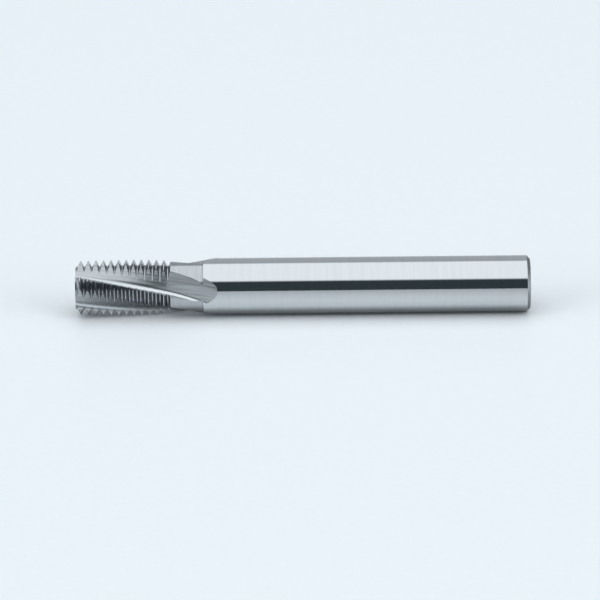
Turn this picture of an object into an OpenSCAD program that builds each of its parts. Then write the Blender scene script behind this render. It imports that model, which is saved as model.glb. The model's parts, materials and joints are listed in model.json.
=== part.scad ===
// Solid carbide thread mill for pipe threads.
// It stands on its shank end: the axis is Z, the shank end is at z = 0 and the cutting tip is up.
// Lengths along the tool are given from the tip, and all sizes are in millimetres.

/* [Shank] */
// Length of the whole tool
overall_length = 80; // [60:0.5:120]
// Diameter of the shank
shank_d = 10; // [9.6:0.1:12]
// Width of the chamfer on the shank end
shank_chamfer = 0.6; // [0.2:0.1:1.5]

/* [Neck] */
// Diameter of the neck between thread and shank
neck_d = 9.3; // [8.8:0.1:9.5]
// Distance from the tip to the shoulder where the shank begins
shoulder_from_tip = 22.5; // [20:0.1:28]

/* [Thread] */
// Pitch of the thread teeth, 19 to the inch
pitch = 1.337; // [1:0.001:1.5]
// Number of teeth along each land
tooth_rows = 12; // [6:1:13]
// Angle between the two flanks of a tooth
flank_angle = 55; // [50:1:60]
// Width of the flat on a tooth's crest
crest_flat = 0.1; // [0.05:0.01:0.2]
// Width of the flat between two teeth
root_flat = 0.2; // [0.15:0.01:0.35]
// Diameter over the teeth, at their cutting edges
crest_d = 9.8; // [9.4:0.05:10.4]
// Distance from the tip to the first root
first_root_from_tip = 0.19; // [0.05:0.01:0.4]
// Angle by which a land falls away behind its cutting edge
relief_angle = 4; // [1:0.5:6]

/* [Flutes] */
// Number of flutes
flute_count = 4; // [2:2:4]
// Angle by which every second flute is set off from even spacing, against chatter
spacing_offset = 4; // [0:0.5:6]
// Angle of the flutes to the axis, measured on the shank diameter
helix_angle = 13.9; // [5:0.1:20]
// Direction in which the first cutting edge leaves the tip
first_edge_angle = -64.5; // [-180:0.5:180]
// Distance of the flute bottom from the axis
core_r = 3.4; // [3:0.05:3.6]
// Angle by which the cutting face leans back from a radius
rake_angle = 4; // [0:0.5:8]
// Radius in the corner under the cutting face
gullet_r = 0.9; // [0.5:0.05:1]
// Turn of the flute bottom from square to the cutting face
bottom_tilt = 5; // [0:1:10]
// Turn of the flute back from square to the cutting face
back_tilt = 17; // [14:1:22]
// Extra distance of the flute back from the axis
back_offset = 0.1; // [0.05:0.01:0.2]
// Distance from the tip at which the grinding wheel starts to leave the flute
runout_start = 16; // [12:0.5:18]
// Distance from the tip at which the flute has left the shank
runout_end = 25; // [24:0.1:30]
// Extra turn of the flute bottom at the end of the run-out
bottom_turn = 28; // [10:1:30]
// Extra turn of the flute back at the end of the run-out
back_turn = 21; // [10:1:24]
// How late the flute bottom rises in the run-out: 1 is a straight rise
bottom_power = 1.25; // [1:0.05:2]

/* [Hidden] */
$fn = 96;

// Overlap that joins pieces and carries cutters past the surfaces they cut
overlap = 0.5;
// Angle by which the sectors of two neighbouring lands overlap inside the tool
sector_overlap = 2;
// Part of a land's spacing that its sector reaches ahead of the cutting edge
sector_ahead = 0.2;
// Points on the gullet arc, and rows along the flute and along its run-out
gullet_steps = 4;
flute_rows = 10;
runout_rows = 14;

shank_r = shank_d / 2;
neck_r = neck_d / 2;
crest_r = crest_d / 2;
tooth_depth = (pitch - crest_flat - root_flat) / 2 / tan(flank_angle / 2);
root_r = crest_r - tooth_depth;
last_root_from_tip = first_root_from_tip + tooth_rows * pitch;
helix_lead = PI * shank_d / tan(helix_angle);
land_step = 360 / flute_count;
cutter_r = shank_r + 2 * gullet_r + 2 * overlap;
inner_r = core_r - overlap;

// Direction of the first cutting edge at a distance from the tip, and of a land from the first
function edge_angle(s) = first_edge_angle - 360 * s / helix_lead;
function land_angle(land) = land * land_step + (land % 2) * spacing_offset;

// Distance from the tip to the crest of a tooth
function crest_from_tip(tooth) = first_root_from_tip + (tooth + 0.5) * pitch;

// How far the grinding wheel has left the flute: 0 in the head, 1 where it leaves the shank
function runout_share(s) = max(0, s - runout_start) / (runout_end - runout_start);

// Height of a place that is given by its distance from the tip
function z_at(s) = overall_length - s;

// Unit vector in a direction
function dir(a) = [cos(a), sin(a)];

// The point where two lines meet, each given by its normal's direction and its distance
function meet(a, da, b, db) =
    [da * sin(b) - db * sin(a), db * cos(a) - da * cos(b)] / sin(b - a);

// Section of one flute at a distance from the tip, with its cutting edge on +X.
// It runs down the cutting face, round the gullet, along the bottom and up the back.
function flute_section(s) =
    let (rise = runout_share(s), late_rise = pow(rise, bottom_power))
    let (face = 90 + rake_angle, face_d = -shank_r * sin(rake_angle))
    let (bottom = bottom_tilt + bottom_turn * late_rise)
    let (bottom_d = core_r + (shank_r - core_r) * late_rise)
    let (back = back_tilt + back_turn * rise)
    let (back_d = core_r + back_offset + (shank_r - core_r - back_offset) * rise)
    let (centre = meet(face, face_d + gullet_r, bottom, bottom_d + gullet_r))
    let (face_top = meet(face, face_d, 0, cutter_r))
    let (back_end = back_d * dir(back) + cutter_r * dir(back + 90))
    concat(
        [face_top],
        [for (i = [0 : gullet_steps])
            let (a = face + 180 + (bottom - face) * i / gullet_steps)
            centre + gullet_r * dir(a)],
        [meet(bottom, bottom_d, back, back_d), back_end, [cutter_r, back_end[1]]]
    );

// One tooth's profile: distance from its axis across, height up. It laps onto the next root.
module tooth_profile(tooth) {
    crest = crest_from_tip(tooth);
    lap = root_flat / 4;
    near = tooth == 0 ? 0 : crest - pitch / 2 - lap;
    far = crest + pitch / 2 + lap;
    base_r = inner_r - overlap;
    rise = crest - (pitch - root_flat) / 2;
    fall = crest + (pitch - root_flat) / 2;
    polygon([
        [base_r, z_at(near)],
        [root_r, z_at(near)],
        [root_r, z_at(rise)],
        [crest_r, z_at(crest - crest_flat / 2)],
        [crest_r, z_at(crest + crest_flat / 2)],
        [root_r, z_at(fall)],
        [root_r, z_at(far)],
        [base_r, z_at(far)]
    ]);
}

// One tooth on one land: part of a ring whose centre is set forward, so that it has relief
module land_tooth(tooth) {
    ahead = land_step * sector_ahead;
    sector = land_step + spacing_offset + sector_overlap;
    translate([0, crest_r * tan(relief_angle), 0])
        rotate([0, 0, ahead - sector])
            rotate_extrude(angle = sector)
                tooth_profile(tooth);
}

// All the teeth, ring by ring, each land turned to where the helix has its cutting edge
module teeth() {
    for (tooth = [0 : tooth_rows - 1])
        for (land = [0 : flute_count - 1])
            rotate([0, 0, edge_angle(crest_from_tip(tooth)) + land_angle(land)])
                land_tooth(tooth);
}

// The turned blank: core under the teeth, flank up to the neck, shoulder, shank and end chamfer
module blank() {
    root_end = last_root_from_tip + root_flat / 2;
    flank_run = (neck_r - root_r) * tan(flank_angle / 2);
    rotate_extrude()
        polygon([
            [0, z_at(0)],
            [inner_r, z_at(0)],
            [inner_r, z_at(last_root_from_tip)],
            [root_r, z_at(last_root_from_tip)],
            [root_r, z_at(root_end)],
            [neck_r, z_at(root_end + flank_run)],
            [neck_r, z_at(shoulder_from_tip)],
            [shank_r, z_at(shoulder_from_tip)],
            [shank_r, shank_chamfer],
            [shank_r - shank_chamfer, 0],
            [0, 0]
        ]);
}

// The space that the grinding wheel takes out for one flute
module flute_cut() {
    last = runout_end + overlap;
    rows = concat(
        [for (i = [0 : flute_rows - 1]) -overlap + (runout_start + overlap) * i / flute_rows],
        [for (i = [0 : runout_rows]) runout_start + (last - runout_start) * i / runout_rows]
    );
    points = [for (s = rows)
        let (turn = edge_angle(s))
        for (p = flute_section(s))
            [p[0] * cos(turn) - p[1] * sin(turn), p[0] * sin(turn) + p[1] * cos(turn), z_at(s)]];
    n = len(flute_section(0));
    sides = [for (i = [0 : len(rows) - 2]) for (j = [0 : n - 1])
        let (a = i * n + j, b = i * n + (j + 1) % n)
        each [[a, a + n, b + n], [a, b + n, b]]];
    top_cap = [[for (j = [0 : n - 1]) j]];
    low_cap = [[for (j = [0 : n - 1]) len(points) - 1 - j]];
    polyhedron(points, concat(sides, top_cap, low_cap), convexity = 6);
}

// The whole tool: the blank with its teeth, less the flutes
module thread_mill() {
    color("silver")
        difference() {
            union() {
                blank();
                teeth();
            }
            for (land = [0 : flute_count - 1])
                rotate([0, 0, land_angle(land)])
                    flute_cut();
        }
}

thread_mill();
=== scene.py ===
"""Looks of a solid carbide thread mill: one ground piece, lying on a pale table as in its photograph.

The tool's frame has its axis on +Z, the shank end at z = 0 and the cutting tip up.
Along the tool, s is the distance from the tip. Formulas are in millimetres, meshes in metres.
"""

import json
import math

import bpy
import numpy as np
from mathutils import Matrix, Vector


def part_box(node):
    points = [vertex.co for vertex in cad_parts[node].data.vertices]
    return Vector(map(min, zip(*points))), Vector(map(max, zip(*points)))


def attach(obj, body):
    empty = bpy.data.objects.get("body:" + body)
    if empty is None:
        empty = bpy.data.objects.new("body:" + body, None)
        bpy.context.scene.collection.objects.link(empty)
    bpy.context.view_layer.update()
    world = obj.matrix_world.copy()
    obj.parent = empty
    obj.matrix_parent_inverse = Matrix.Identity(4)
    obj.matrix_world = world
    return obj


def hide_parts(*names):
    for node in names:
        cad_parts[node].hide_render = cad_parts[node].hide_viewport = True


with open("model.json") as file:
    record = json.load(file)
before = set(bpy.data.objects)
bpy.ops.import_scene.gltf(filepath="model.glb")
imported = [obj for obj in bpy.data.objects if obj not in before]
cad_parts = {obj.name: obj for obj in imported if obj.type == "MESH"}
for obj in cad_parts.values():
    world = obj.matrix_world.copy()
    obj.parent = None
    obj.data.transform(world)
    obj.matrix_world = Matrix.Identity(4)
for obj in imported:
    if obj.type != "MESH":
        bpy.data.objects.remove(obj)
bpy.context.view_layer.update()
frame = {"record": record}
MM = 0.001

# Sizes of the tool, in millimetres
node_low, node_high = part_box("thread_mill")
shank_mount = next(m for m in frame["record"]["mounts"] if m["name"] == "shank")
OVERALL_LENGTH = (node_high.z - node_low.z) / MM
SHANK_R = shank_mount["dims"]["r_mm"]
SHANK_CHAMFER = 0.6
NECK_R = 4.65
SHOULDER_FROM_TIP = 22.5

# Thread, in millimetres and degrees
PITCH = 1.337
TOOTH_ROWS = 12
FLANK_ANGLE = 55.0
CREST_FLAT = 0.1
ROOT_FLAT = 0.2
CREST_R = 4.9
FIRST_ROOT_FROM_TIP = 0.19
RELIEF_ANGLE = 4.0
TOOTH_DEPTH = (PITCH - CREST_FLAT - ROOT_FLAT) / 2 / math.tan(math.radians(FLANK_ANGLE / 2))
ROOT_R = CREST_R - TOOTH_DEPTH
LAST_ROOT_FROM_TIP = FIRST_ROOT_FROM_TIP + TOOTH_ROWS * PITCH

# Flutes, in millimetres and degrees
FLUTE_COUNT = 4
SPACING_OFFSET = 4.0
HELIX_ANGLE = 13.9
FIRST_EDGE_ANGLE = -64.5
CORE_R = 3.4
RAKE_ANGLE = 4.0
GULLET_R = 0.9
BOTTOM_TILT = 5.0
BACK_TILT = 17.0
BACK_OFFSET = 0.1
RUNOUT_START = 16.0
RUNOUT_END = 25.0
BOTTOM_TURN = 28.0
BACK_TURN = 21.0
BOTTOM_POWER = 1.25
HELIX_LEAD = 2 * math.pi * SHANK_R / math.tan(math.radians(HELIX_ANGLE))
# The flute's section is drawn past the tool's surface, so that it crosses the lands on both sides
SECTION_SPARE = 1.0
SECTION_REACH = SHANK_R + 2 * GULLET_R + SECTION_SPARE

# Mesh density: points round one flute and one land, points on each stretch of the flute's section,
# rows on a flank, and the spacing of rows in millimetres
FLUTE_POINTS = 44
LAND_POINTS = 20
SECTOR_POINTS = FLUTE_POINTS + LAND_POINTS
CURVE_POINTS = 60
FLANK_STEPS = 4
RUNOUT_ROW = 0.08
STEP_ROW = 0.01
SHANK_ROW = 2.0
# Distance from the tip up to which the rows lie close together
CLOSE_ROWS_END = RUNOUT_END + 1.0
# A ring of points inside the flat tip and the flat end, as a share of their outlines
INNER_RING = 0.5
# Edges that turn by more than this many degrees stay sharp
SHARP_ANGLE = 28
# Past the run-out the flute's columns lie on the shank: their width in degrees where they start,
# how much they widen along a millimetre, and their greatest width
STRIP_START = 2
STRIP_GROWTH = 12
STRIP_WIDEST = 45
# Part of the spacing of two lands, ahead of a cutting edge, that still belongs to its own land
OWN_SIDE = 0.2
# Width in millimetres of the strip along the shoulder's corner that takes the thread's darker colour, as a
# painted shade line in that corner
PAINTED_SHADE_STRIP = 0.3
# Material slots of the tool's mesh
POLISHED, FLUTE, GRAINY, THREAD_AND_SHOULDER_SHADE, NECK = range(5)


def land_angle(land):
    """Direction of a land from the first one: every second land is set off from even spacing."""
    return land * 360 / FLUTE_COUNT + (land % 2) * SPACING_OFFSET


def edge_angle(s):
    """Direction of the first cutting edge; the columns of the mesh stop turning past the run-out."""
    return FIRST_EDGE_ANGLE - 360 * np.minimum(s, RUNOUT_END) / HELIX_LEAD


def spread(start, end, step):
    """Even values from start up to, but without, end, about one step apart."""
    count = max(1, int(round((end - start) / step)))
    return np.linspace(start, end, count, endpoint=False)


def profile_rows():
    """The turned outline as rows of (s, radius, relieved): a tooth is root, flank, crest flat, flank."""
    half_root = ROOT_FLAT / 2
    half_crest = CREST_FLAT / 2
    corners = [(0.0, ROOT_R, 1)]
    for tooth in range(TOOTH_ROWS):
        crest = FIRST_ROOT_FROM_TIP + (tooth + 0.5) * PITCH
        corners += [
            (crest - PITCH / 2 + half_root, ROOT_R, 1),
            (crest - half_crest, CREST_R, 1),
            (crest + half_crest, CREST_R, 1),
            (crest + PITCH / 2 - half_root, ROOT_R, 1),
        ]
    corners += [(LAST_ROOT_FROM_TIP, ROOT_R, 1), (LAST_ROOT_FROM_TIP + STEP_ROW, ROOT_R, 0)]
    neck = LAST_ROOT_FROM_TIP + half_root + (NECK_R - ROOT_R) * math.tan(math.radians(FLANK_ANGLE / 2))
    corners += [(LAST_ROOT_FROM_TIP + half_root, ROOT_R, 0), (neck, NECK_R, 0)]
    rows = []
    for (s0, r0, relieved), (s1, r1, _) in zip(corners, corners[1:]):
        steps = FLANK_STEPS if r1 != r0 else 1
        for i in range(steps):
            share = i / steps
            rows.append((s0 + (s1 - s0) * share, r0 + (r1 - r0) * share, relieved))
    chamfer = OVERALL_LENGTH - SHANK_CHAMFER
    rows += [(s, NECK_R, 0) for s in spread(neck, SHOULDER_FROM_TIP, RUNOUT_ROW)]
    rows.append((SHOULDER_FROM_TIP, NECK_R, 0))
    rows += [(s, SHANK_R, 0) for s in spread(SHOULDER_FROM_TIP + STEP_ROW, CLOSE_ROWS_END, RUNOUT_ROW)]
    rows += [(s, SHANK_R, 0) for s in spread(CLOSE_ROWS_END, chamfer, SHANK_ROW)]
    rows.append((chamfer, SHANK_R, 0))
    return np.array(rows)


def meet(a, da, b, db):
    """Where two lines meet, each given by its normal's direction in radians and its distance."""
    x = da * np.sin(b) - db * np.sin(a)
    y = db * np.cos(a) - da * np.cos(b)
    return np.stack([x, y], -1) / np.sin(b - a)[..., None]


def direction(a):
    """Unit vectors at angles in radians: cosine and sine."""
    return np.stack([np.cos(a), np.sin(a)], -1)


def flute_curves(s):
    """The flute's section for each row, with the cutting edge on +X.

    A straight cutting face, a gullet arc tangent to it and to the bottom, a flat bottom and a flat
    back. Along the run-out the back rises evenly to the shank's radius and turns, and the bottom
    follows a little later.
    """
    back_share = np.maximum(s - RUNOUT_START, 0) / (RUNOUT_END - RUNOUT_START)
    bottom_share = back_share ** BOTTOM_POWER
    face = np.full_like(s, math.radians(90 + RAKE_ANGLE))
    face_d = np.full_like(s, -SHANK_R * math.sin(math.radians(RAKE_ANGLE)))
    bottom = np.radians(BOTTOM_TILT + BOTTOM_TURN * bottom_share)
    bottom_d = CORE_R + (SHANK_R - CORE_R) * bottom_share
    back = np.radians(BACK_TILT + BACK_TURN * back_share)
    back_d = CORE_R + BACK_OFFSET + (SHANK_R - CORE_R - BACK_OFFSET) * back_share
    centre = meet(face, face_d + GULLET_R, bottom, bottom_d + GULLET_R)
    face_top = meet(face, face_d, np.zeros_like(s), np.full_like(s, SECTION_REACH))
    ridge = meet(bottom, bottom_d, back, back_d)
    back_end = back_d[:, None] * direction(back) + SECTION_REACH * direction(back + math.pi / 2)
    t = np.linspace(0, 1, CURVE_POINTS)[None, :, None]
    arc_angle = face[:, None] + math.pi + (bottom - face)[:, None] * t[..., 0]
    arc = centre[:, None] + GULLET_R * direction(arc_angle)
    down = face_top[:, None] + (arc[:, :1] - face_top[:, None]) * t
    along = arc[:, -1:] + (ridge[:, None] - arc[:, -1:]) * t
    up = ridge[:, None] + (back_end - ridge)[:, None] * t
    return np.concatenate([down[:, :-1], arc[:, :-1], along[:, :-1], up], 1)


def body_radius(delta, rows):
    """Radius of a land at an angle from its own cutting edge: a circle whose centre is set forward."""
    ring = rows[:, 1:2]
    offset = rows[:, 2:3] * CREST_R * math.tan(math.radians(RELIEF_ANGLE))
    return offset * np.sin(delta) + np.sqrt(ring ** 2 - (offset * np.cos(delta)) ** 2)


def at_index(values, index):
    """Values of each row at a fractional index along it."""
    low = np.clip(np.floor(index).astype(int), 0, values.shape[1] - 2)
    part = index - low
    a = np.take_along_axis(values, low, 1)
    b = np.take_along_axis(values, low + 1, 1)
    return a + (b - a) * part


def sector_rows(rows, curve, step):
    """One flute and the land ahead of it, for each row, with the cutting edge on +X.

    The flute's curve is clipped where it leaves the lands on its two sides. Past the run-out its
    columns lie on the shank, in a strip that widens down the tool. The gullet's share is half a sine
    wave along its arc, and nothing elsewhere.
    """
    s = rows[:, 0]
    x, y = curve[..., 0], curve[..., 1]
    phi = np.arctan2(y, x)
    body = body_radius(np.where(phi < step * OWN_SIDE, phi, phi - step), rows)
    above = np.hypot(x, y) - body
    inside = (above < 0) & (s < RUNOUT_END)[:, None]
    open_row = inside.any(1)
    last_index = curve.shape[1] - 1
    first_in = np.where(open_row, inside.argmax(1), above.argmin(1))
    last_in = np.where(open_row, last_index - inside[:, ::-1].argmax(1), above.argmin(1))
    every_row = np.arange(len(s))

    def crossing(outer, inner):
        """Fractional index at which each row's curve crosses the surface of the land."""
        a, b = above[every_row, outer], above[every_row, inner]
        part = np.where(open_row, a / np.where(a == b, 1, a - b), 0)
        return outer + (inner - outer) * part

    start = crossing(np.maximum(first_in - 1, 0), first_in)
    end = crossing(np.minimum(last_in + 1, last_index), last_in)
    index = start[:, None] + (end - start)[:, None] * np.linspace(0, 1, FLUTE_POINTS)
    fx, fy = at_index(x, index), at_index(y, index)
    along_arc = np.clip(index / (CURVE_POINTS - 1) - 1, 0, 1)
    in_gullet = np.sin(math.pi * along_arc) * open_row[:, None]
    closed = np.flatnonzero(~open_row)
    apex = math.atan2(fy[closed[0] - 1].mean(), fx[closed[0] - 1].mean())
    past = s[closed] - s[closed[0]]
    width = np.radians(np.minimum(STRIP_START + STRIP_GROWTH * past, STRIP_WIDEST))
    strip = apex + width[:, None] * np.linspace(-0.5, 0.5, FLUTE_POINTS)
    fx[closed] = rows[closed, 1:2] * np.cos(strip)
    fy[closed] = rows[closed, 1:2] * np.sin(strip)
    heel = np.arctan2(fy[:, -1], fx[:, -1]) - step
    edge = np.arctan2(fy[:, 0], fx[:, 0])
    land = heel[:, None] + (edge - heel)[:, None] * np.linspace(0, 1, LAND_POINTS + 2)[1:-1]
    land_r = body_radius(land, rows)
    lx, ly = land_r * np.cos(land + step), land_r * np.sin(land + step)
    gullet = np.concatenate([in_gullet, np.zeros_like(land)], 1)
    return open_row, gullet, np.concatenate([fx, lx], 1), np.concatenate([fy, ly], 1)


def tool_rows():
    """Every row's closed loop of points, flute and land by turns, and each point's share of the gullet.

    Each section is turned along the helix, to the direction of its own land.
    """
    rows = profile_rows()
    s = rows[:, 0]
    curve = flute_curves(s)
    loops = []
    gullets = []
    for land in range(FLUTE_COUNT):
        step = math.radians(land_angle(land + 1) - land_angle(land))
        open_row, gullet, px, py = sector_rows(rows, curve, step)
        gullets.append(gullet)
        turn = np.radians(edge_angle(s) + land_angle(land))[:, None]
        turned_x = px * np.cos(turn) - py * np.sin(turn)
        turned_y = px * np.sin(turn) + py * np.cos(turn)
        loops.append(np.stack([turned_x, turned_y], -1))
    xy = np.concatenate(loops, 1)
    z = np.broadcast_to((OVERALL_LENGTH - s)[:, None, None], xy.shape[:2] + (1,))
    return rows, open_row, np.concatenate(gullets, 1), np.concatenate([xy, z], -1)


def closed_faces(ring_count, around):
    """Quads from each ring to the next, and triangles from the first and the last ring to its centre."""
    i = np.arange(ring_count - 1)[:, None] * around
    j = np.arange(around)[None]
    k = (j + 1) % around
    quads = np.stack([i + j, i + around + j, i + around + k, i + k], -1).reshape(-1, 4)
    last_ring = (ring_count - 1) * around
    tip_centre = ring_count * around
    end_centre = tip_centre + 1
    tip = np.stack([np.full(around, tip_centre), j[0], k[0]], -1)
    end = np.stack([np.full(around, end_centre), last_ring + k[0], last_ring + j[0]], -1)
    return quads, np.concatenate([tip, end])


def quad_slots(rows, open_row, ring_count, around):
    """Material slot of each quad: flutes, thread, neck, a painted shade line in the thread's colour along the
    shoulder's corner, grainy tip and end, rest polished.
    """
    count = len(rows)
    in_flute = (np.arange(around) % SECTOR_POINTS) < FLUTE_POINTS - 1
    slot = np.full((ring_count - 1, around), POLISHED)
    flute_rows = open_row[:-1] & open_row[1:]
    slot[1:count][np.outer(flute_rows, in_flute)] = FLUTE
    on_crest = (rows[:-1, 1] == CREST_R) & (rows[1:, 1] == CREST_R)
    on_neck = (rows[:-1, 1] == NECK_R) & (rows[1:, 1] == NECK_R)
    thread_rows = (rows[1:, 0] < LAST_ROOT_FROM_TIP + PITCH) & ~on_crest & ~on_neck
    slot[1:count][np.outer(thread_rows, ~in_flute)] = THREAD_AND_SHOULDER_SHADE
    slot[1:count][np.outer(on_neck, ~in_flute)] = NECK
    # The neck's corner at the shoulder takes the thread's darker colour: a painted shade line
    painted_shade_rows = on_neck & (rows[:-1, 0] > SHOULDER_FROM_TIP - PAINTED_SHADE_STRIP)
    slot[1:count][np.outer(painted_shade_rows, ~in_flute)] = THREAD_AND_SHOULDER_SHADE
    slot[0] = GRAINY
    slot[count:] = GRAINY
    return slot


def flute_lengths(rings):
    """Real lengths in metres: forward less outward in each flute's own turned frame, and along z."""
    lands = np.repeat([land_angle(land) for land in range(FLUTE_COUNT)], SECTOR_POINTS)
    turn = np.radians(edge_angle(OVERALL_LENGTH - rings[..., 2]) + lands)
    outward = rings[..., 0] * np.cos(turn) + rings[..., 1] * np.sin(turn)
    forward = rings[..., 1] * np.cos(turn) - rings[..., 0] * np.sin(turn)
    return np.stack([forward - outward, rings[..., 2]], -1) * MM


def set_normals(mesh, rows, slot, points, quads):
    """Smooth normals with sharp edges; on turned lengths of even radius they point straight from the axis."""
    mesh.shade_smooth()
    mesh.set_sharp_from_angle(angle=math.radians(SHARP_ANGLE))
    normals = np.empty(len(mesh.loops) * 3, np.float32)
    mesh.corner_normals.foreach_get("vector", normals)
    normals = normals.reshape(-1, 3)
    straight_rows = (rows[:-1, 1] == rows[1:, 1]) & (rows[:-1, 2] == 0)
    turned = np.zeros(slot.shape, bool)
    turned[1:len(rows)] = straight_rows[:, None]
    turned &= slot != FLUTE
    corners = np.flatnonzero(np.repeat(turned.ravel(), quads.shape[1]))
    radial = points[quads.ravel()[corners]] * np.array([1, 1, 0])
    normals[corners] = radial / np.linalg.norm(radial, axis=1, keepdims=True)
    mesh.normals_split_custom_set(normals.tolist())


def build_tool():
    """The whole tool as one closed mesh: the rows of loops, a flat tip, the end chamfer and a flat end."""
    rows, open_row, gullet, loops = tool_rows()
    count, around = loops.shape[:2]
    inward = np.array([INNER_RING, INNER_RING, 1])
    chamfered = 1 - SHANK_CHAMFER / SHANK_R
    tip = loops[0] * inward
    chamfer = loops[-1] * np.array([chamfered, chamfered, 0])
    end = chamfer * inward
    rings = np.concatenate([tip[None], loops, chamfer[None], end[None]])
    centres = np.array([[0, 0, OVERALL_LENGTH], [0, 0, 0]])
    points = np.concatenate([rings.reshape(-1, 3), centres]) * MM
    quads, caps = closed_faces(len(rings), around)
    mesh = bpy.data.meshes.new("thread_mill_ground")
    mesh.from_pydata(points.tolist(), [], quads.tolist() + caps.tolist())
    gullet_share = np.zeros(len(points), np.float32)
    gullet_share[around:around * (count + 1)] = gullet.ravel()
    mesh.attributes.new("gullet", "FLOAT", "POINT").data.foreach_set("value", gullet_share)
    slot = quad_slots(rows, open_row, len(rings), around)
    slots = np.concatenate([slot.ravel(), np.full(len(caps), GRAINY)])
    mesh.polygons.foreach_set("material_index", slots)
    quad_map = flute_lengths(rings).reshape(-1, 2)[quads].reshape(-1, 2)
    cap_map = points[caps.ravel()][:, :2]
    lengths = np.concatenate([quad_map, cap_map]).astype(np.float32)
    mesh.uv_layers.new(name="real_lengths").data.foreach_set("uv", lengths.ravel())
    set_normals(mesh, rows, slot, points, quads)
    tool = bpy.data.objects.new("thread_mill_ground", mesh)
    bpy.context.scene.collection.objects.link(tool)
    return tool


# Sockets of a Mix node: its two colours and their mix, and its two plain values and theirs
COLOUR_A, COLOUR_B, COLOUR_OUT = 6, 7, 2
VALUE_A, VALUE_B, VALUE_OUT = 2, 3, 0
# Noise values at which the marks of a finish reach their two ends, and how strong its finer octaves are
MARK_RANGE = (0.3, 0.7)
MARK_ROUGHNESS = 0.55
# The gullet's own colour and roughness
GULLET_COLOUR = "#CED1D3"
GULLET_ROUGHNESS = 0.2


def linear(hex_colour):
    """An sRGB hex colour as linear red, green, blue and alpha."""
    srgb = [int(hex_colour[i:i + 2], 16) / 255 for i in (1, 3, 5)]
    return [c / 12.92 if c <= 0.04045 else ((c + 0.055) / 1.055) ** 2.4 for c in srgb] + [1.0]


def add_node(tree, kind, inputs=None, **settings):
    """Adds one node: settings are its properties, inputs its socket values or the sockets that feed it."""
    node = tree.nodes.new(kind)
    for name, value in settings.items():
        setattr(node, name, value)
    for name, value in (inputs or {}).items():
        if isinstance(value, bpy.types.NodeSocket):
            tree.links.new(value, node.inputs[name])
        else:
            node.inputs[name].default_value = value
    return node


def marked_surface(name, metallic, size_mm, colours, roughness, depth_mm, detail=3.0, uv_map=None):
    """A surface whose marks are one noise, drawn out to size_mm along each coordinate.

    The marks run the colour between two hex colours, the roughness between two values and the
    height over depth_mm. The coordinates are the object's, or those of a map where one is named; a
    map has no third coordinate, so the third size has no effect there.
    """
    material = bpy.data.materials.new(name)
    material.use_nodes = True
    tree = material.node_tree
    shader = tree.nodes["Principled BSDF"]
    shader.inputs["Metallic"].default_value = metallic
    if uv_map:
        place = add_node(tree, "ShaderNodeUVMap", uv_map=uv_map).outputs["UV"]
    else:
        place = add_node(tree, "ShaderNodeTexCoord").outputs["Object"]
    scaled = add_node(tree, "ShaderNodeMapping", {
        "Vector": place, "Scale": [1 / (size * MM) for size in size_mm]})
    marks = add_node(tree, "ShaderNodeTexNoise", {
        "Vector": scaled.outputs["Vector"], "Scale": 1.0, "Detail": detail, "Roughness": MARK_ROUGHNESS})
    share = add_node(tree, "ShaderNodeMapRange", {
        "Value": marks.outputs["Fac"], "From Min": MARK_RANGE[0], "From Max": MARK_RANGE[1]})
    colour = add_node(tree, "ShaderNodeMix", {
        "Factor": share.outputs["Result"], COLOUR_A: linear(colours[0]), COLOUR_B: linear(colours[1])},
        data_type="RGBA")
    rough = add_node(tree, "ShaderNodeMapRange", {
        "Value": share.outputs["Result"], "To Min": roughness[0], "To Max": roughness[1]})
    bump = add_node(tree, "ShaderNodeBump", {
        "Height": marks.outputs["Fac"], "Strength": 1.0, "Distance": depth_mm * MM})
    tree.links.new(colour.outputs[COLOUR_OUT], shader.inputs["Base Color"])
    tree.links.new(rough.outputs["Result"], shader.inputs["Roughness"])
    tree.links.new(bump.outputs["Normal"], shader.inputs["Normal"])
    return material


def polished_carbide():
    """Shank and crests, ground round and polished: they mirror the room in clean bands.

    Polishing leaves rings of scratches a few micrometres apart, drawn here 0.4 mm apart so that
    they show as a faint grain.
    """
    return marked_surface(
        "carbide_polished", metallic=1.0, size_mm=(8, 8, 0.4), colours=("#C5C7C9", "#C9CBCD"),
        roughness=(0.07, 0.09), depth_mm=0.00005)


def ground_carbide():
    """Flutes from a grinding wheel: satin, with streaks along the helix that catch the light.

    The wheel's grit leaves lines about 0.02 mm apart, drawn here 0.4 mm apart so that they show.
    The gullet is lighter and smoother, as the wheel's rounded corner would burnish it.
    """
    material = marked_surface(
        "carbide_wheel_ground", metallic=1.0, size_mm=(0.4, 12, 12), colours=("#8E9193", "#BFC2C4"),
        roughness=(0.28, 0.42), depth_mm=0.0022, uv_map="real_lengths")
    tree = material.node_tree
    shader = tree.nodes["Principled BSDF"]
    streaked = shader.inputs["Base Color"].links[0].from_socket
    satin = shader.inputs["Roughness"].links[0].from_socket
    gullet = add_node(tree, "ShaderNodeAttribute", attribute_name="gullet").outputs["Fac"]
    colour = add_node(tree, "ShaderNodeMix", {
        "Factor": gullet, COLOUR_A: streaked, COLOUR_B: linear(GULLET_COLOUR)}, data_type="RGBA")
    rough = add_node(tree, "ShaderNodeMix", {
        "Factor": gullet, VALUE_A: satin, VALUE_B: GULLET_ROUGHNESS})
    tree.links.new(colour.outputs[COLOUR_OUT], shader.inputs["Base Color"])
    tree.links.new(rough.outputs[VALUE_OUT], shader.inputs["Roughness"])
    return material


def rough_carbide():
    """Tip, end face and end chamfer, cut off and left rough: a dull grey grain.

    The grain of a cut face is about 0.05 mm wide, drawn here 0.2 mm wide so that it shows.
    """
    return marked_surface(
        "carbide_rough_ground", metallic=1.0, size_mm=(0.2, 0.2, 0.2), colours=("#858A8E", "#B0B4B7"),
        roughness=(0.36, 0.52), depth_mm=0.006, detail=2.0)


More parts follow.
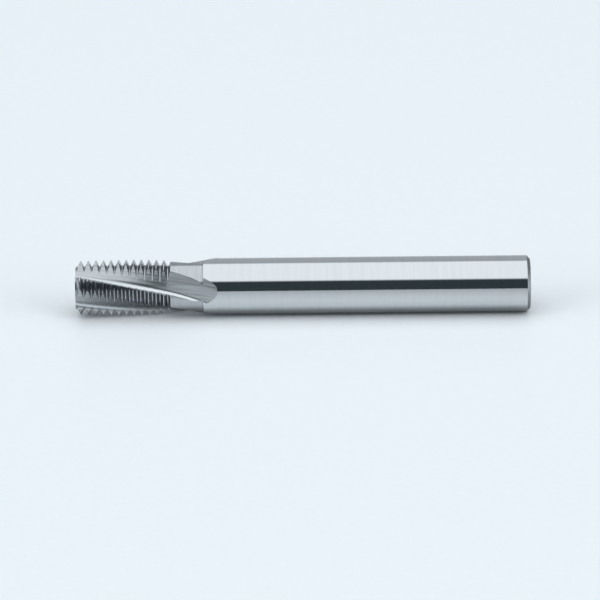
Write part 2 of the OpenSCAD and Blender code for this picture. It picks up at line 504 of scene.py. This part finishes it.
def thread_and_shoulder_shade_carbide():
    """Flanks and roots of the teeth, from a formed wheel: darker and unpolished, with lines round them.

    The corner at the shoulder has the same colour, as a painted shade line round the neck in that corner.
    The wheel's lines are about 0.02 mm apart, drawn here 0.14 mm apart so that they show.
    """
    return marked_surface(
        "carbide_thread_ground_and_shoulder_shade", metallic=1.0, size_mm=(4, 4, 0.14), colours=("#93969A", "#A6A9AD"),
        roughness=(0.16, 0.28), depth_mm=0.001)


def neck_carbide():
    """Neck, ground round and left unpolished: greyer and a little duller than the shank, with lines round it.

    The lines are about 0.02 mm apart, drawn here 0.2 mm apart so that they show.
    """
    return marked_surface(
        "carbide_neck_ground", metallic=1.0, size_mm=(4, 4, 0.2), colours=("#A8AAAC", "#B7B9BB"),
        roughness=(0.09, 0.14), depth_mm=0.0002)


def table_laminate_painted_shade():
    """The table top, pale laminate with a soft sheen and a fine print of the press plate, drawn 1 mm wide.

    Its colour carries a painted shade just in front of the line of contact, which only the tool's reflections
    show, deeper than the shade the camera sees there.
    From below the table is clear, so that a view from there still shows the tool.
    """
    material = marked_surface(
        "table_pale_laminate_painted_shade", metallic=0.0, size_mm=(1, 1, 1), colours=("#EEF1F3", "#F0F3F5"),
        roughness=(0.33, 0.37), depth_mm=0.0001)
    tree = material.node_tree
    shader = tree.nodes["Principled BSDF"]
    pale = shader.inputs["Base Color"].links[0].from_socket
    place = add_node(tree, "ShaderNodeTexCoord")
    across = add_node(tree, "ShaderNodeVectorMath", {
        0: place.outputs["Object"], 1: table_back}, operation="DOT_PRODUCT")
    from_shade = add_node(tree, "ShaderNodeMath", {
        0: across.outputs["Value"], 1: SHADE_MIDDLE * MM}, operation="ADD")
    off_shade = add_node(tree, "ShaderNodeMath", {0: from_shade.outputs[0]}, operation="ABSOLUTE")
    shade = add_node(tree, "ShaderNodeMapRange", {
        "Value": off_shade.outputs[0], "From Min": SHADE_REACH[0] * MM, "From Max": SHADE_REACH[1] * MM,
        "To Min": SHADE_SHARE, "To Max": 0.0}, interpolation_type="SMOOTHSTEP")
    path = add_node(tree, "ShaderNodeLightPath")
    # Painted shade: near the contact, the dark colour is mixed into the table's colour for glossy rays only
    painted_shade_share = add_node(tree, "ShaderNodeMath", {
        0: shade.outputs["Result"], 1: path.outputs["Is Glossy Ray"]}, operation="MULTIPLY")
    shaded = add_node(tree, "ShaderNodeMix", {
        "Factor": painted_shade_share.outputs[0], COLOUR_A: pale, COLOUR_B: linear(PAINTED_SHADE_COLOUR)}, data_type="RGBA")
    tree.links.new(shaded.outputs[COLOUR_OUT], shader.inputs["Base Color"])
    geometry = add_node(tree, "ShaderNodeNewGeometry")
    clear = add_node(tree, "ShaderNodeBsdfTransparent")
    mix = add_node(tree, "ShaderNodeMixShader", {
        "Fac": geometry.outputs["Backfacing"], 1: shader.outputs["BSDF"], 2: clear.outputs["BSDF"]})
    tree.links.new(mix.outputs["Shader"], tree.nodes["Material Output"].inputs["Surface"])
    return material


tool = build_tool()
# In the order of the material slots
for make in (polished_carbide, ground_carbide, rough_carbide, thread_and_shoulder_shade_carbide, neck_carbide):
    tool.data.materials.append(make())
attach(tool, "root")
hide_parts("thread_mill")

# The table that the tool lies on: its normal leans towards the camera by the photograph's elevation.
# Half its width is in metres, and the gap under the tool in millimetres.
TABLE_ELEVATION = math.radians(21)
TABLE_HALF = 1.5
TABLE_GAP = 0.02
# Painted shade in the table's colour, which only the tool's reflections show along the contact: its colour,
# its greatest share, how far its middle lies in front of the line of contact, and the distances from there
# between which it fades, in mm
PAINTED_SHADE_COLOUR = "#1E2B34"
SHADE_SHARE = 0.57
SHADE_MIDDLE = 2.0
SHADE_REACH = (0.8, 3.7)
table_up = Vector((math.cos(TABLE_ELEVATION), -math.sin(TABLE_ELEVATION), 0))
table_back = Vector((math.sin(TABLE_ELEVATION), math.cos(TABLE_ELEVATION), 0))
axis_mid = Vector((0, 0, OVERALL_LENGTH * MM / 2))
tool_points = np.empty(len(tool.data.vertices) * 3, np.float32)
tool.data.vertices.foreach_get("co", tool_points)
lowest = float((tool_points.reshape(-1, 3) @ np.array(table_up)).min())
table_centre = axis_mid + table_up * (lowest - TABLE_GAP * MM)


def build_table():
    """One flat square under the tool, along its axis, whose normal points up to the tool."""
    mesh = bpy.data.meshes.new("table")
    corners = [
        table_centre + table_back * a * TABLE_HALF + Vector((0, 0, b * TABLE_HALF))
        for a, b in ((-1, -1), (-1, 1), (1, 1), (1, -1))
    ]
    mesh.from_pydata([tuple(c) for c in corners], [], [(0, 1, 2, 3)])
    if mesh.polygons[0].normal.dot(table_up) < 0:
        mesh.flip_normals()
    table = bpy.data.objects.new("table", mesh)
    bpy.context.scene.collection.objects.link(table)
    mesh.materials.append(table_laminate_painted_shade())


build_table()

# Studio round the tool's axis: elevation above the table in degrees, and the light's colour and level.
# ACROSS is straight across the tool, with the dark opening that the camera looks through, NEAR is
# to its left and right, and ASIDE is farther out, where soft lights stand in front.
ACROSS = [
    (-2, "#E3EAEF", 0.80),
    (0, "#A8C4D2", 0.11),
    (37, "#A8C4D2", 0.11),
    (43, "#F0F6FA", 1.45),
    (122, "#F0F6FA", 1.45),
    (128, "#E6EEF3", 0.66),
    (180, "#E6EEF3", 0.66),
    (182, "#E3EAEF", 0.80),
]
NEAR = [
    (-2, "#E3EAEF", 0.80),
    (0, "#D5E2EA", 0.44),
    (37, "#D5E2EA", 0.44),
    (60, "#F0F6FA", 1.45),
    (122, "#F0F6FA", 1.45),
    (128, "#E6EEF3", 0.40),
    (180, "#E6EEF3", 0.40),
    (182, "#E3EAEF", 0.80),
]
ASIDE = [
    (-2, "#E3EAEF", 0.80),
    (0, "#F0F6FA", 0.80),
    (25, "#F0F6FA", 3.50),
    (45, "#F0F6FA", 3.90),
    (65, "#F0F6FA", 1.60),
    (95, "#F0F6FA", 0.70),
    (120, "#E6EEF3", 0.20),
    (180, "#E6EEF3", 0.20),
    (182, "#E3EAEF", 0.80),
]
# Sines of the angles to the cross-section between which one list gives way to the next
NEAR_EDGE = (0.14, 0.28)
ASIDE_EDGE = (0.46, 0.66)
# What the camera sees past the table
BACKDROP_COLOUR = "#E6F0F7"


def light_stops(lights):
    """The lights of one list in order, each as its place and its linear colour.

    A place is the elevation as a share of the turn round the tool's axis, counted from behind the tool.
    """
    lean = math.degrees(TABLE_ELEVATION)
    stops = []
    for elevation, colour, level in lights:
        place = ((elevation - lean + 180) % 360) / 360
        stops.append((place, [c * level for c in linear(colour)[:3]] + [1.0]))
    return sorted(stops)


def build_studio():
    """Light tent: a dark opening in front, soft lights beside and over it; the camera sees it pale."""
    world = bpy.data.worlds.new("studio")
    bpy.context.scene.world = world
    world.use_nodes = True
    tree = world.node_tree
    where = add_node(tree, "ShaderNodeTexCoord")
    parts = add_node(tree, "ShaderNodeSeparateXYZ", {0: where.outputs["Generated"]})
    front = add_node(tree, "ShaderNodeMath", {0: parts.outputs["Y"], 1: -1.0}, operation="MULTIPLY")
    angle = add_node(tree, "ShaderNodeMath", {
        0: parts.outputs["X"], 1: front.outputs[0]}, operation="ARCTAN2")
    share = add_node(tree, "ShaderNodeMapRange", {
        "Value": angle.outputs[0], "From Min": -math.pi, "From Max": math.pi}).outputs["Result"]
    along = add_node(tree, "ShaderNodeMath", {0: parts.outputs["Z"]}, operation="ABSOLUTE").outputs[0]
    rings = []
    for lights in (ACROSS, NEAR, ASIDE):
        stops = light_stops(lights)
        ramp = add_node(tree, "ShaderNodeValToRGB", {"Fac": share})
        elements = ramp.color_ramp.elements
        while len(elements) < len(stops):
            elements.new(1.0)
        # All elements are placed before any is coloured, so that their order is settled
        for element, (place, _) in zip(elements, stops):
            element.position = place
        for element, (_, colour) in zip(elements, stops):
            element.color = colour
        rings.append(ramp.outputs["Color"])
    blended = rings[0]
    for (inner, outer), farther in zip((NEAR_EDGE, ASIDE_EDGE), rings[1:]):
        past = add_node(tree, "ShaderNodeMapRange", {
            "Value": along, "From Min": inner, "From Max": outer}, interpolation_type="SMOOTHSTEP")
        blend = add_node(tree, "ShaderNodeMix", {
            "Factor": past.outputs["Result"], COLOUR_A: blended, COLOUR_B: farther}, data_type="RGBA")
        blended = blend.outputs[COLOUR_OUT]
    path = add_node(tree, "ShaderNodeLightPath")
    seen = add_node(tree, "ShaderNodeMix", {
        "Factor": path.outputs["Is Camera Ray"], COLOUR_A: blended,
        COLOUR_B: linear(BACKDROP_COLOUR)}, data_type="RGBA")
    tree.links.new(seen.outputs[COLOUR_OUT], tree.nodes["Background"].inputs["Color"])


build_studio()

# Camera: the photograph's side and its scale at the tool's axis in pixels, the distance in metres,
# where the middle of the axis lies in the picture, the axis's tilt there, and the sensor in mm
PHOTO_PX = 600
PX_PER_MM = 5.669
CAMERA_DISTANCE = 0.715
AXIS_MIDDLE_PX = (302.9, 285.5)
AXIS_TILT = math.radians(0.58)
SENSOR_WIDTH = 36.0


def build_camera():
    """Looks along +Y at the axis, turned so that the tip is on the left and the axis nearly level."""
    data = bpy.data.cameras.new("camera")
    camera = bpy.data.objects.new("camera", data)
    bpy.context.scene.collection.objects.link(camera)
    back = Vector((0, -1, 0))
    turn = Matrix.Rotation(-AXIS_TILT, 3, back)
    right = turn @ Vector((0, 0, -1))
    up = turn @ Vector((1, 0, 0))
    off_right = (PHOTO_PX / 2 - AXIS_MIDDLE_PX[0]) / PX_PER_MM * MM
    off_up = (AXIS_MIDDLE_PX[1] - PHOTO_PX / 2) / PX_PER_MM * MM
    place = Matrix((right, up, back)).transposed().to_4x4()
    place.translation = axis_mid + back * CAMERA_DISTANCE + right * off_right + up * off_up
    camera.matrix_world = place
    data.sensor_width = SENSOR_WIDTH
    data.lens = PX_PER_MM / MM * CAMERA_DISTANCE / PHOTO_PX * SENSOR_WIDTH
    bpy.context.scene.camera = camera


build_camera()
bpy.context.scene.view_settings.view_transform = "Standard"
